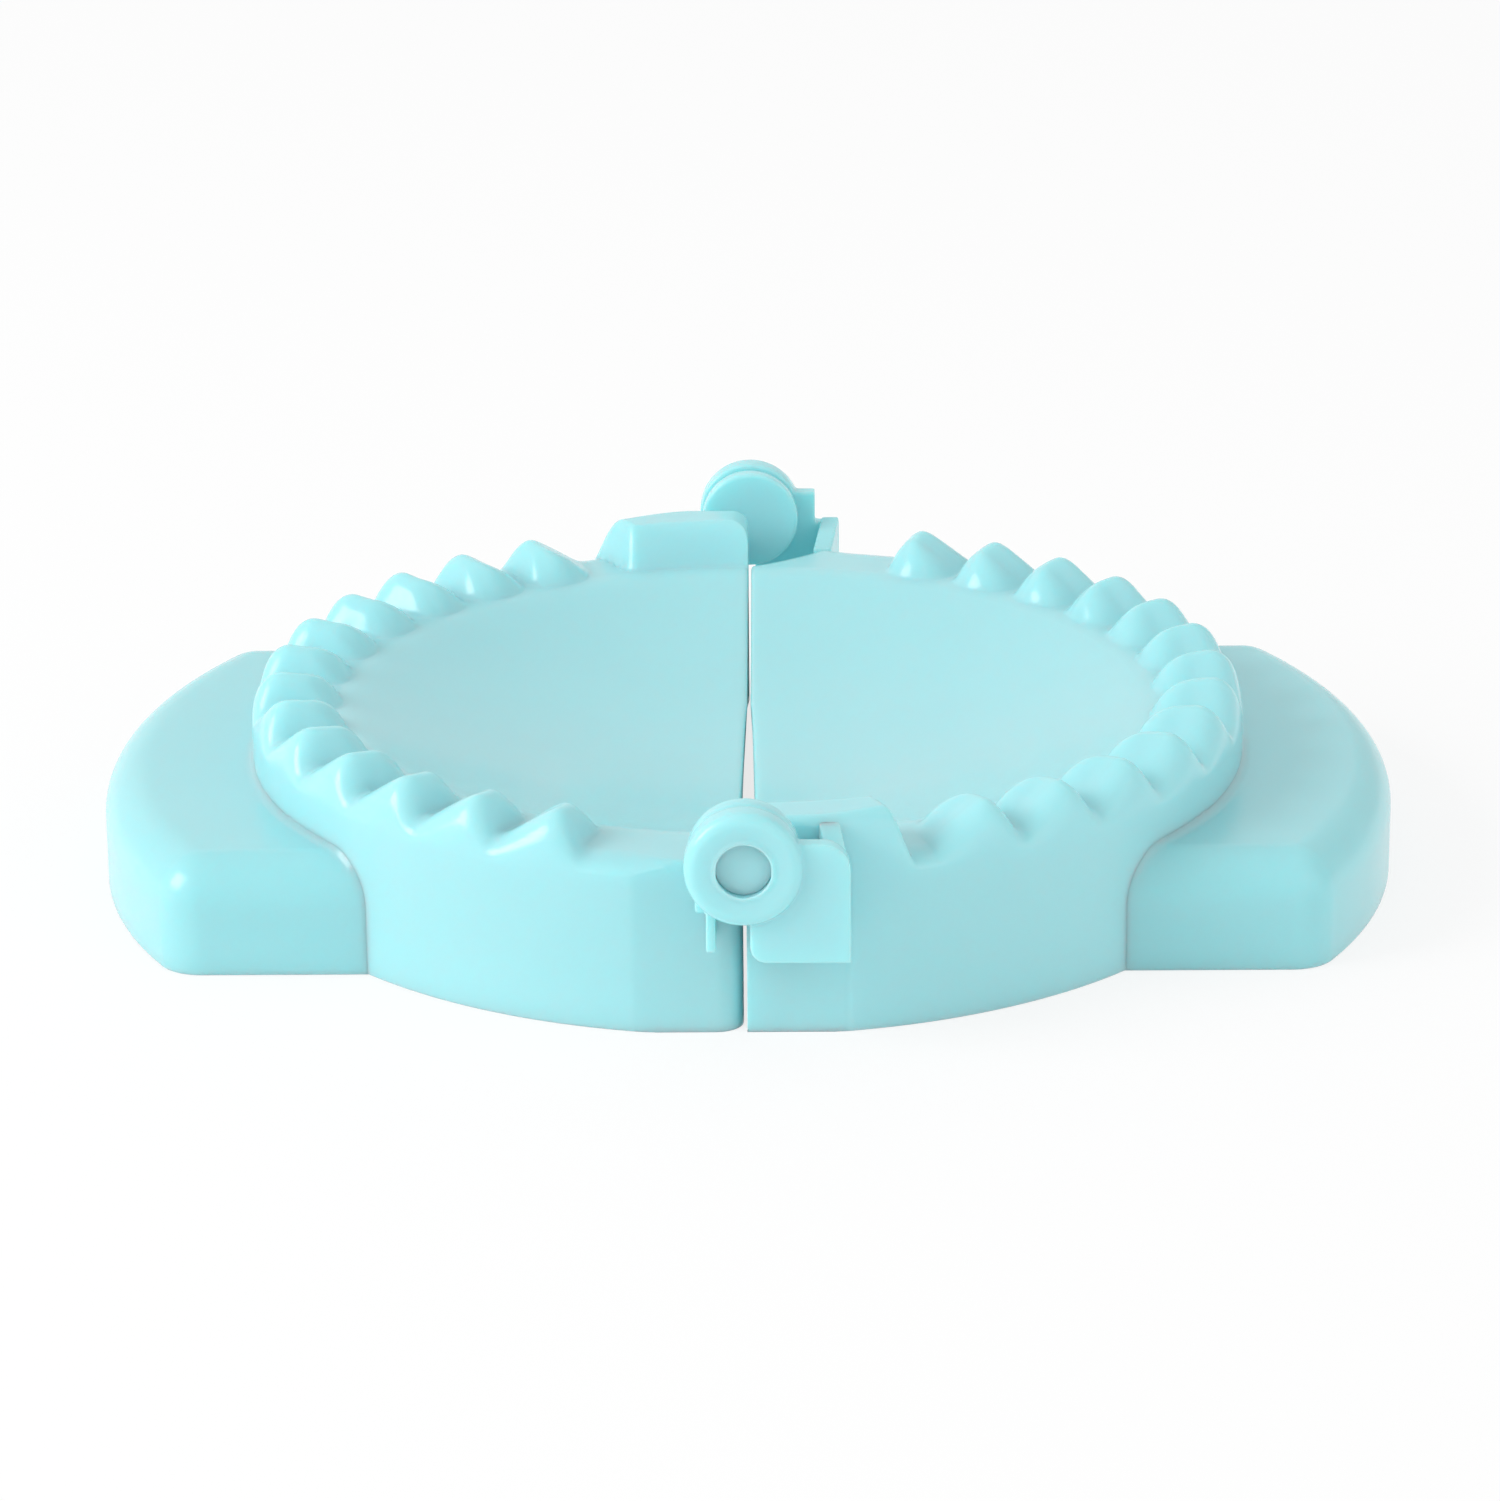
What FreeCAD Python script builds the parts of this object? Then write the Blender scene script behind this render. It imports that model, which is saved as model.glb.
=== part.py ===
import FreeCAD, Part

import math
import os

# Folding press for filled dough rounds, open and lying flat, in millimetres.
# Origin: on the table under the middle of the hinge line. +X to the right, +Y to the back, +Z up.
# The hinge pins lie along Y. The right half swings up and over onto the left half.
# The left and right halves are the same form, turned half a turn about the upright line, but for the
# hinge: the left half carries the two hubs with their pins, and the right half carries the two eyes.

# Driving dimensions of a half shell
WALL_RADIUS = 50.0
WALL_THICKNESS = 2.4
SKIN = 2.0
LAND_HEIGHT = 17.0
LAND_WIDTH = 7.8
LAND_EDGE_ROUND = 0.9
DISH_DEPTH = 9.0
DISH_RIM_ROUND = 8.0
PARTING_GAP = 0.4
PARTING_WALL_THICKNESS = 2.0

# Closing pad and crimping teeth
PAD_RISE = 4.2
PAD_SLOPE_WIDTH = 3.2
PAD_EDGE_ROUND = 0.7
CLOSED_GAP = 0.3
TOOTH_COUNT = 13
TOOTH_PITCH_DEG = 10.7
TOOTH_STEEP_DEG = 3.2
TOOTH_AMPLITUDE = 3.3
TOOTH_LEDGE = 1.2
TOOTH_TIP_OVERHANG = 0.6
TOOTH_APEX_DROP = 3.0
TOOTH_OUTER_ROUND = 1.4
TOOTH_NOSE_LENGTH = 3.6
GENTLE_ROUND_SHARE = 0.2
STEEP_ROUND_SHARE = 0.36

# Handles
HANDLE_REACH = 15.0
HANDLE_HALF_WIDTH = 34.2
HANDLE_HEIGHT = 11.5
HANDLE_CORNER_ROUND = 5.0
HANDLE_TOP_ROUND = 4.4
HANDLE_SKIN = 2.0

# Hinge. Heights here are measured up or down from the hinge line.
HINGE_REACH = 7.5
HINGE_SIDE_GAP = 0.3
EYE_RADIUS = 5.66
EYE_THICKNESS = 2.9
EYE_EDGE_ROUND = 1.0
PIN_RADIUS = 2.6
PIN_CLEARANCE = 0.08
PIN_END_RECESS = 0.5
PIN_END_CHAMFER = 0.3
HUB_THICKNESS = 2.6
HUB_EDGE_ROUND = 0.5
EAR_DROP = 8.25
EAR_RISE = 2.25
EAR_STEP_DROP = 0.75
EAR_STEP_X = 7.0
EAR_REACH = 9.6
EAR_INNER_X = 0.5
EAR_CORNER_ROUND = 2.6
EAR_FACE_RECESS = 0.5
EAR_SIDE_X = 7.6
EAR_SIDE_THICKNESS = 1.4
EAR_SIDE_DROP = 0.4
RELIEF_DEPTH = 1.1
RELIEF_CLEARANCE = 0.3
NECK_WIDTH = 4.6
NECK_HEIGHT = 3.2
NECK_TOP_DROP = 0.4
RIB_X = 3.2
RIB_WIDTH = 1.0
RIB_HEIGHT = 5.2

# One overrun serves every cut
OVERRUN = 5.0

# Derived sizes
PARTING_X = PARTING_GAP / 2
PAD_HEIGHT = LAND_HEIGHT + PAD_RISE
MID_HEIGHT = (LAND_HEIGHT + PAD_HEIGHT) / 2
AXIS_HEIGHT = MID_HEIGHT + CLOSED_GAP / 2
CREST_HEIGHT = MID_HEIGHT + TOOTH_AMPLITUDE / 2
VALLEY_HEIGHT = MID_HEIGHT - TOOTH_AMPLITUDE / 2
WALL_INNER_RADIUS = WALL_RADIUS - WALL_THICKNESS
LAND_INNER_RADIUS = WALL_RADIUS - LAND_WIDTH
PAD_INNER_TOP_RADIUS = LAND_INNER_RADIUS + PAD_SLOPE_WIDTH
PAD_OUTER_RADIUS = WALL_RADIUS - LAND_EDGE_ROUND
TOOTH_OUTER_RADIUS = WALL_RADIUS - TOOTH_LEDGE
TOOTH_TIP_RADIUS = LAND_INNER_RADIUS - TOOTH_TIP_OVERHANG
TOOTH_APEX_HEIGHT = LAND_HEIGHT - TOOTH_APEX_DROP
HANDLE_RADIUS = WALL_RADIUS + HANDLE_REACH
HINGE_OUTER_Y = WALL_RADIUS + HINGE_REACH
EAR_BOTTOM = AXIS_HEIGHT - EAR_DROP
EAR_TOP = AXIS_HEIGHT + EAR_RISE
EAR_STEP_HEIGHT = AXIS_HEIGHT - EAR_STEP_DROP
NECK_TOP = LAND_HEIGHT - NECK_TOP_DROP
HALF_TURN = 180.0
QUARTER_TURN = 90.0
TEETH_SPAN_DEG = TOOTH_COUNT * TOOTH_PITCH_DEG
# The teeth of one half meet the valleys of the other when the two ends are shared out like this
TEETH_START_DEG = (HALF_TURN + TOOTH_STEEP_DEG - TEETH_SPAN_DEG) / 2
DISH_SLOPE = 2 * math.atan(DISH_DEPTH / LAND_INNER_RADIUS)
BOWL_RADIUS = LAND_INNER_RADIUS / math.sin(DISH_SLOPE) - DISH_RIM_ROUND
BOWL_CENTRE_HEIGHT = LAND_HEIGHT - DISH_DEPTH + BOWL_RADIUS

UP = FreeCAD.Vector(0, 0, 1)
BACK = FreeCAD.Vector(0, 1, 0)
CENTRE = FreeCAD.Vector(0, 0, 0)


def section_point(radius, height):
    # A point of a section that is turned about the upright line
    return FreeCAD.Vector(radius, 0, height)


def line(start, end):
    return Part.LineSegment(start, end).toShape()


def circle_point(centre, radius, angle):
    # A point at an angle from straight down, towards larger radius
    return centre + FreeCAD.Vector(radius * math.sin(angle), 0, -radius * math.cos(angle))


def arc(centre, radius, start_angle, end_angle):
    middle_angle = (start_angle + end_angle) / 2
    start = circle_point(centre, radius, start_angle)
    middle = circle_point(centre, radius, middle_angle)
    end = circle_point(centre, radius, end_angle)
    return Part.Arc(start, middle, end).toShape()


def curve(points):
    # A smooth curve drawn by its control points
    bezier = Part.BezierCurve()
    bezier.setPoles(points)
    return bezier.toShape()


def turned(section_edges, start_deg, end_deg):
    # A section turned about the upright line. Angles run from the back round to the left.
    face = Part.Face(Part.Wire(section_edges))
    face.rotate(CENTRE, UP, QUARTER_TURN + start_deg)
    return face.revolve(CENTRE, UP, end_deg - start_deg)


def block(low_x, high_x, low_y, high_y, low_z, high_z):
    corner = FreeCAD.Vector(low_x, low_y, low_z)
    return Part.makeBox(high_x - low_x, high_y - low_y, high_z - low_z, corner)


def left_of_parting(shape):
    # Keep what lies on the left of the parting face
    reach = HANDLE_RADIUS + OVERRUN
    keep = block(-reach, -PARTING_X, -reach, reach, -OVERRUN, PAD_HEIGHT + OVERRUN)
    return shape.common(keep)


def to_the_back(shape):
    return shape.mirror(CENTRE, BACK)


def with_hinge_relief(shape):
    # Flat faces beside the parting, at the front and the back, give the folded ear its room
    relief_face = WALL_RADIUS - RELIEF_DEPTH
    relief_reach = EAR_SIDE_X + EAR_SIDE_THICKNESS + RELIEF_CLEARANCE
    far = WALL_RADIUS + OVERRUN
    front = block(-relief_reach, OVERRUN, -far, -relief_face, -OVERRUN, PAD_HEIGHT + OVERRUN)
    return shape.cut(front).cut(to_the_back(front))


def half_turned(shape):
    # The right half's form is the left half's, turned half a turn about the upright line
    turned_shape = shape.copy()
    turned_shape.rotate(CENTRE, UP, HALF_TURN)
    return turned_shape


def bowl_edges(offset):
    # The bowl and its rim in section, from the land to the middle, lowered by an offset along the normal
    bowl_centre = section_point(0, BOWL_CENTRE_HEIGHT)
    rim_centre = section_point(LAND_INNER_RADIUS, LAND_HEIGHT - DISH_RIM_ROUND)
    rim_radius = DISH_RIM_ROUND - offset
    rim = arc(rim_centre, rim_radius, math.pi, math.pi + DISH_SLOPE)
    bowl = arc(bowl_centre, BOWL_RADIUS + offset, DISH_SLOPE, 0)
    return [rim, bowl]


def make_dish():
    # Bowl, rim and flat land in one skin, with a rounded outer edge
    flat_end = section_point(WALL_RADIUS - LAND_EDGE_ROUND, LAND_HEIGHT)
    edge_centre = section_point(WALL_RADIUS - LAND_EDGE_ROUND, LAND_HEIGHT - LAND_EDGE_ROUND)
    edge_end = section_point(WALL_RADIUS, LAND_HEIGHT - LAND_EDGE_ROUND)
    under_outer = section_point(WALL_RADIUS, LAND_HEIGHT - SKIN)
    under_inner = section_point(LAND_INNER_RADIUS, LAND_HEIGHT - SKIN)
    land_inner = section_point(LAND_INNER_RADIUS, LAND_HEIGHT)
    bowl_top = section_point(0, LAND_HEIGHT - DISH_DEPTH)
    bowl_under = section_point(0, LAND_HEIGHT - DISH_DEPTH - SKIN)
    upper_rim, upper_bowl = bowl_edges(0)
    lower_rim, lower_bowl = bowl_edges(SKIN)
    edges = [
        line(land_inner, flat_end),
        arc(edge_centre, LAND_EDGE_ROUND, math.pi, math.pi / 2),
        line(edge_end, under_outer),
        line(under_outer, under_inner),
        lower_rim,
        lower_bowl,
        line(bowl_under, bowl_top),
        upper_bowl,
        upper_rim,
    ]
    return with_hinge_relief(left_of_parting(turned(edges, 0, HALF_TURN)))


def make_skirt():
    # The upright round wall under the land
    corners = [
        section_point(WALL_INNER_RADIUS, 0),
        section_point(WALL_RADIUS, 0),
        section_point(WALL_RADIUS, LAND_HEIGHT - SKIN),
        section_point(WALL_INNER_RADIUS, LAND_HEIGHT - SKIN),
    ]
    edges = [line(corners[index - 1], corners[index]) for index in range(len(corners))]
    return with_hinge_relief(left_of_parting(turned(edges, 0, HALF_TURN)))


def make_parting_wall():
    # The straight wall along the parting, from the table up to the underside of the bowl
    lower_rim, lower_bowl = bowl_edges(SKIN)
    bowl_under = section_point(0, LAND_HEIGHT - DISH_DEPTH - SKIN)
    middle = section_point(0, 0)
    wall_foot = section_point(WALL_INNER_RADIUS, 0)
    wall_top = section_point(WALL_INNER_RADIUS, LAND_HEIGHT - SKIN)
    rim_under = section_point(LAND_INNER_RADIUS, LAND_HEIGHT - SKIN)
    edges = [
        line(middle, wall_foot),
        line(wall_foot, wall_top),
        line(wall_top, rim_under),
        lower_rim,
        lower_bowl,
        line(bowl_under, middle),
    ]
    filling = turned(edges, 0, HALF_TURN)
    inner_face = PARTING_X + PARTING_WALL_THICKNESS
    slab = block(-inner_face, -PARTING_X, -WALL_RADIUS, WALL_RADIUS, -OVERRUN, LAND_HEIGHT)
    return filling.common(slab)


def radial_point(angle_deg, radius, height_at_teeth):
    # Crest and valley lines all run out from one point on the upright line, so they rise outwards
    climb = (height_at_teeth - TOOTH_APEX_HEIGHT) / TOOTH_OUTER_RADIUS
    angle = math.radians(QUARTER_TURN + angle_deg)
    height = TOOTH_APEX_HEIGHT + climb * radius
    return FreeCAD.Vector(radius * math.cos(angle), radius * math.sin(angle), height)


def between(first, second, share):
    return first + (second - first) * share


def saw_profile(radius, lines):
    # One rounded saw line at a radius, as the control points of its straight and curved stretches.
    # Each entry of lines is an angle, a height at the teeth's outer radius, and whether it is rounded.
    points = [radial_point(angle, radius, height) for angle, height, is_rounded in lines]
    stretches = []
    start = points[0]
    for index in range(1, len(points) - 1):
        is_rounded = lines[index][2]
        here = points[index]
        if is_rounded:
            before = between(here, points[index - 1], GENTLE_ROUND_SHARE)
            after = between(here, points[index + 1], STEEP_ROUND_SHARE)
            stretches.append([start, before])
            stretches.append([before, here, after])
            start = after
        else:
            stretches.append([start, here])
            start = here
    stretches.append([start, points[-1]])
    return stretches


def on_floor(points):
    # The block's flat underside lies below the land, where every saw line stays above it
    return [FreeCAD.Vector(point.x, point.y, LAND_HEIGHT - OVERRUN) for point in points]


def end_face(inner_top, outer_top):
    # The upright face that closes a saw block at one of its ends
    inner_foot, outer_foot = on_floor([inner_top, outer_top])
    return Part.Face(Part.makePolygon([inner_top, outer_top, outer_foot, inner_foot, inner_top]))


def saw_block(lines):
    # A solid under a ruled saw surface, to be trimmed to a ring's section
    inner = saw_profile(TOOTH_TIP_RADIUS - OVERRUN, lines)
    outer = saw_profile(WALL_RADIUS + OVERRUN, lines)
    faces = [Part.makeRuledSurface(curve(near), curve(far)) for near, far in zip(inner, outer)]
    floor_edges = []
    for stretches in (inner, outer):
        for points in stretches:
            floor_edge = curve(on_floor(points))
            floor_edges.append(floor_edge)
            faces.append(Part.makeRuledSurface(curve(points), floor_edge))
    for index in (0, -1):
        inner_top = inner[index][index]
        outer_top = outer[index][index]
        faces.append(end_face(inner_top, outer_top))
        floor_edges.append(curve(on_floor([inner_top, outer_top])))
    floor_loop = Part.Wire(Part.__sortEdges__(floor_edges))
    faces.append(Part.Face(floor_loop))
    shell = Part.Shell(faces)
    shell.sewShape()
    return Part.Solid(shell)


def tooth_lines():
    # Valleys and rounded crests, from the first valley to the last
    lines = [(TEETH_START_DEG, VALLEY_HEIGHT, False)]
    for index in range(TOOTH_COUNT):
        valley = TEETH_START_DEG + (index + 1) * TOOTH_PITCH_DEG
        lines.append((valley - TOOTH_STEEP_DEG, CREST_HEIGHT, True))
        lines.append((valley, VALLEY_HEIGHT, False))
    return lines


def make_teeth():
    # The saw block trimmed to a ring with rounded noses inside and rounded shoulders outside
    top = CREST_HEIGHT + CLOSED_GAP
    nose_end_radius = TOOTH_TIP_RADIUS + TOOTH_NOSE_LENGTH
    tip = section_point(TOOTH_TIP_RADIUS, LAND_HEIGHT)
    nose_low = section_point(TOOTH_TIP_RADIUS, MID_HEIGHT)
    nose_high = section_point(TOOTH_TIP_RADIUS + TOOTH_NOSE_LENGTH / 3, CREST_HEIGHT)
    nose_end = section_point(nose_end_radius, top)
    shoulder_start = section_point(TOOTH_OUTER_RADIUS - TOOTH_OUTER_ROUND, top)
    shoulder_corner = section_point(TOOTH_OUTER_RADIUS, top)
    shoulder_end = section_point(TOOTH_OUTER_RADIUS, top - TOOTH_OUTER_ROUND)
    foot = section_point(TOOTH_OUTER_RADIUS, LAND_HEIGHT)
    edges = [
        curve([tip, nose_low, nose_high, nose_end]),
        line(nose_end, shoulder_start),
        curve([shoulder_start, shoulder_corner, shoulder_end]),
        line(shoulder_end, foot),
        line(foot, tip),
    ]
    ring = turned(edges, TEETH_START_DEG, TEETH_START_DEG + TEETH_SPAN_DEG)
    return ring.common(saw_block(tooth_lines()))


def make_pad():
    # The flat raised land that closes on the other half's low land, with a steep end at the first tooth
    foot_inner = section_point(LAND_INNER_RADIUS, LAND_HEIGHT)
    top_inner = section_point(PAD_INNER_TOP_RADIUS, PAD_HEIGHT)
    inner_before = between(top_inner, foot_inner, PAD_EDGE_ROUND / (PAD_HEIGHT - LAND_HEIGHT))
    inner_after = section_point(PAD_INNER_TOP_RADIUS + PAD_EDGE_ROUND, PAD_HEIGHT)
    outer_before = section_point(PAD_OUTER_RADIUS - PAD_EDGE_ROUND, PAD_HEIGHT)
    outer_corner = section_point(PAD_OUTER_RADIUS, PAD_HEIGHT)
    outer_after = section_point(PAD_OUTER_RADIUS, PAD_HEIGHT - PAD_EDGE_ROUND)
    foot_outer = section_point(PAD_OUTER_RADIUS, LAND_HEIGHT)
    edges = [
        line(foot_inner, inner_before),
        curve([inner_before, top_inner, inner_after]),
        line(inner_after, outer_before),
        curve([outer_before, outer_corner, outer_after]),
        line(outer_after, foot_outer),
        line(foot_outer, foot_inner),
    ]
    ring = turned(edges, 0, TEETH_START_DEG)
    flank_climb = TOOTH_AMPLITUDE / TOOTH_STEEP_DEG
    peak_height = PAD_HEIGHT + OVERRUN
    peak_deg = TEETH_START_DEG - (peak_height - VALLEY_HEIGHT) / flank_climb
    lines = [
        (-OVERRUN, peak_height, False),
        (peak_deg, peak_height, False),
        (TEETH_START_DEG, VALLEY_HEIGHT, False),
    ]
    pad = ring.common(saw_block(lines))
    return with_hinge_relief(left_of_parting(pad))


def handle_blank(radius, half_width, height, corner_round, top_round):
    # A slice of a disc with round corners and a round top edge, long enough to reach into the wall
    disc = Part.makeCylinder(radius, height)
    blank = disc.common(block(-radius, -half_width, -half_width, half_width, 0, height))
    corners = [edge for edge in blank.Edges if is_outer_corner(edge, half_width)]
    blank = blank.makeFillet(corner_round, corners)
    top_edges = [edge for edge in blank.Edges if is_free_top_edge(edge, height, half_width)]
    return blank.makeFillet(top_round, top_edges)


def is_outer_corner(edge, half_width):
    box = edge.BoundBox
    is_upright = box.ZLength > box.XLength + box.YLength
    return is_upright and box.Center.x < -half_width - OVERRUN


def is_free_top_edge(edge, height, half_width):
    box = edge.BoundBox
    is_top = box.ZMin > height - PARTING_GAP
    return is_top and box.XMin < -half_width - PARTING_GAP


def make_handle():
    # A shell that is open below and closed by the round wall
    outer = handle_blank(
        HANDLE_RADIUS,
        HANDLE_HALF_WIDTH,
        HANDLE_HEIGHT,
        HANDLE_CORNER_ROUND,
        HANDLE_TOP_ROUND,
    )
    hollow = handle_blank(
        HANDLE_RADIUS - HANDLE_SKIN,
        HANDLE_HALF_WIDTH - HANDLE_SKIN,
        HANDLE_HEIGHT - HANDLE_SKIN,
        HANDLE_CORNER_ROUND - HANDLE_SKIN,
        HANDLE_TOP_ROUND - HANDLE_SKIN,
    )
    wall = Part.makeCylinder(WALL_RADIUS, HANDLE_HEIGHT + OVERRUN)
    return outer.cut(hollow).cut(wall)


def along_hinge(radius, low_y, high_y):
    # A disc or bar on the hinge line
    return Part.makeCylinder(radius, high_y - low_y, FreeCAD.Vector(0, low_y, AXIS_HEIGHT), BACK)


def rim_edges(shape, y, radius):
    # The round edges of a disc's face
    found = []
    for edge in shape.Edges:
        box = edge.BoundBox
        is_on_face = abs(box.YMin - y) < PIN_CLEARANCE and abs(box.YMax - y) < PIN_CLEARANCE
        if is_on_face and abs(box.XLength / 2 - radius) < PIN_CLEARANCE:
            found.append(edge)
    return found


def make_hub():
    # The front hub: a disc on the hinge line, its neck to the wall, and a thin upright rib under it
    eye_inner_y = HINGE_OUTER_Y - EYE_THICKNESS
    hub_outer_y = eye_inner_y - HINGE_SIDE_GAP
    hub_inner_y = hub_outer_y - HUB_THICKNESS
    wall_face = WALL_RADIUS - RELIEF_DEPTH
    disc = along_hinge(EYE_RADIUS, -hub_outer_y, -hub_inner_y)
    disc = disc.makeFillet(HUB_EDGE_ROUND, rim_edges(disc, -hub_outer_y, EYE_RADIUS))
    neck_low_x = -PARTING_X - NECK_WIDTH
    neck = block(neck_low_x, -PARTING_X, -hub_inner_y, -wall_face, NECK_TOP - NECK_HEIGHT, NECK_TOP)
    rib_low_x = -RIB_X - RIB_WIDTH / 2
    rib_high_x = -RIB_X + RIB_WIDTH / 2
    rib = block(rib_low_x, rib_high_x, -hub_outer_y, -wall_face, NECK_TOP - RIB_HEIGHT, NECK_TOP)
    return disc.fuse(neck).fuse(rib).removeSplitter()


def make_pin():
    # The front pin stands out of the hub into the eye, a little short of its face
    eye_inner_y = HINGE_OUTER_Y - EYE_THICKNESS
    hub_outer_y = eye_inner_y - HINGE_SIDE_GAP
    pin_end_y = HINGE_OUTER_Y - PIN_END_RECESS
    pin = along_hinge(PIN_RADIUS, -pin_end_y, -hub_outer_y)
    return pin.makeChamfer(PIN_END_CHAMFER, rim_edges(pin, -pin_end_y, PIN_RADIUS))


def is_lower_inner_edge(edge):
    # The lower edge of the ear plate beside the parting, which runs along the hinge line
    box = edge.BoundBox
    return box.XMax < EAR_STEP_X and box.ZMax < EAR_STEP_HEIGHT and box.YLength > EAR_FACE_RECESS


def ear_plate():
    # The stepped plate that joins the eye to its side wall, seen from the front
    inner_y = HINGE_OUTER_Y - EYE_THICKNESS
    outer_y = HINGE_OUTER_Y - EAR_FACE_RECESS
    low = block(EAR_INNER_X, EAR_REACH, -outer_y, -inner_y, EAR_BOTTOM, EAR_STEP_HEIGHT)
    low = low.makeFillet(EAR_CORNER_ROUND, [edge for edge in low.Edges if is_lower_inner_edge(edge)])
    high = block(EAR_INNER_X, EAR_STEP_X, -outer_y, -inner_y, AXIS_HEIGHT - EYE_RADIUS / 2, EAR_TOP)
    return low.fuse(high)


def make_ear():
    # The front ear: the eye, its stepped plate, and the side wall back to the round wall
    inner_y = HINGE_OUTER_Y - EYE_THICKNESS
    wall_face = WALL_RADIUS - RELIEF_DEPTH
    eye = along_hinge(EYE_RADIUS, -HINGE_OUTER_Y, -inner_y)
    eye = eye.makeFillet(EYE_EDGE_ROUND, rim_edges(eye, -HINGE_OUTER_Y, EYE_RADIUS))
    side_outer_x = EAR_SIDE_X + EAR_SIDE_THICKNESS
    side = block(EAR_SIDE_X, side_outer_x, -inner_y, -wall_face, EAR_BOTTOM, EAR_STEP_HEIGHT - EAR_SIDE_DROP)
    bore = along_hinge(PIN_RADIUS + PIN_CLEARANCE, -HINGE_OUTER_Y - OVERRUN, -wall_face)
    return eye.fuse(ear_plate()).fuse(side).cut(bore).removeSplitter()


def subparts():
    # Every named piece of the press
    left_forms = {
        "dish": make_dish(),
        "skirt": make_skirt(),
        "parting_wall": make_parting_wall(),
        "closing_pad": make_pad(),
        "crimp_teeth": make_teeth(),
        "handle": make_handle(),
    }
    pieces = {}
    for name, form in left_forms.items():
        pieces["left_" + name] = form
        pieces["right_" + name] = half_turned(form)
    hinge_forms = {"hinge_hub": make_hub(), "pivot_pin": make_pin(), "hinge_ear": make_ear()}
    for name, form in hinge_forms.items():
        pieces["front_" + name] = form
        pieces["back_" + name] = to_the_back(form)
    return pieces


def main():
    os.makedirs("parts", exist_ok=True)
    for name, shape in subparts().items():
        solids = shape.Solids
        print(name, len(solids), shape.isValid(), round(shape.Volume, 1))
        shape.exportStep("parts/" + name + ".step")


main()
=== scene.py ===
import logging
import math
from dataclasses import dataclass, field
from enum import Enum
from typing import Any

import bmesh
import bpy
import numpy as np
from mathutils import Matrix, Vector


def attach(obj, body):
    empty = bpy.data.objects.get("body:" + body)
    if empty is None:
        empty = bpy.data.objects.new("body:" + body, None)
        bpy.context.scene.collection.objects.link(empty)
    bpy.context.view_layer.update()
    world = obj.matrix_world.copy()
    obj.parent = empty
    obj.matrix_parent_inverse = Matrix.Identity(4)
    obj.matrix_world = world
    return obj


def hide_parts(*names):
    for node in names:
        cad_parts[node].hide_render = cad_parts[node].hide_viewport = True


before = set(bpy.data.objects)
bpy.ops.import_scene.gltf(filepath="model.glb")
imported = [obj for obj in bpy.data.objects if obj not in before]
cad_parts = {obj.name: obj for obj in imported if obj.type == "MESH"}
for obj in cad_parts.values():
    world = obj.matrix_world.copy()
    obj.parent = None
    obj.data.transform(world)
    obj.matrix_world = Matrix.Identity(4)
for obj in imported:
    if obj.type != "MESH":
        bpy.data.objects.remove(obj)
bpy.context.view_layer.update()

LOG = logging.getLogger("dough_press")
MM = 0.001
HALF_TURN_DEG = 180.0
QUARTER_TURN = math.pi / 2.0
WHITE = (1.0, 1.0, 1.0, 1.0)
MIX_FIRST, MIX_SECOND, MIX_RESULT = 6, 7, 2
WELD_DIGITS = 4
Array = np.ndarray
Rows = tuple[Array, Array, Array]
Mesh = tuple[Array, list[list[int]]]


class Half(Enum):
    """The two halves of the press, by the CAD body that each rides on."""

    LEFT = "left_half"
    RIGHT = "right_half"

    @property
    def prefix(self) -> str:
        """The start of this half's node names."""
        return self.value.split("_")[0]


class End(Enum):
    """The two ends of the hinge line, by the sign of Y."""

    FRONT = -1
    BACK = 1

    @property
    def prefix(self) -> str:
        """The start of this end's node names."""
        return self.name.lower()


def smooth_min(first: Array, second: Array, width: float) -> Array:
    """The lower of two heights, less a small parabola where they are within a width of each other."""
    share = np.clip(0.5 + 0.5 * (second - first) / width, 0.0, 1.0)
    return second + (first - second) * share - width * share * (1.0 - share)


def smooth_max(first: Array, second: Array, width: float) -> Array:
    """The higher of two heights, plus a small parabola where they are within a width of each other."""
    return -smooth_min(-first, -second, width)


def smooth_step(value: Array) -> Array:
    """A share that eases from 0 at 0 to 1 at 1."""
    share = np.clip(value, 0.0, 1.0)
    return share * share * (3.0 - 2.0 * share)


def grid_faces(rows: int, columns: int, start: int = 0) -> Array:
    """The four-sided faces of a grid of points.

    Args:
        rows: number of rows of points.
        columns: number of points in a row.
        start: number of the grid's first point.

    Returns:
        An array of four point numbers a face.
    """
    index = np.arange(rows * columns).reshape(rows, columns) + start
    corners = (index[:-1, :-1], index[:-1, 1:], index[1:, 1:], index[1:, :-1])
    return np.stack([corner.ravel() for corner in corners], axis=1)


def welded(points: Array, faces: Array) -> Mesh:
    """Points that coincide are made one, and faces that lose a corner become triangles.

    Args:
        points: points in millimetres.
        faces: four point numbers a face.

    Returns:
        The kept points and the faces as lists of point numbers.
    """
    keys = np.round(points, WELD_DIGITS)
    kept, place = np.unique(keys, axis=0, return_inverse=True)
    quads = place.reshape(-1)[faces]
    same = [quads[:, side] == quads[:, (side + 1) % 4] for side in range(4)]
    crossed = (quads[:, 0] == quads[:, 2]) | (quads[:, 1] == quads[:, 3])
    losses = sum(flag.astype(int) for flag in same)
    whole = quads[(losses == 0) & ~crossed]
    result = whole.tolist()
    for side in range(4):
        chosen = quads[same[side] & (losses == 1) & ~crossed]
        result += np.delete(chosen, side, axis=1).tolist()
    return kept, result


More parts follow.
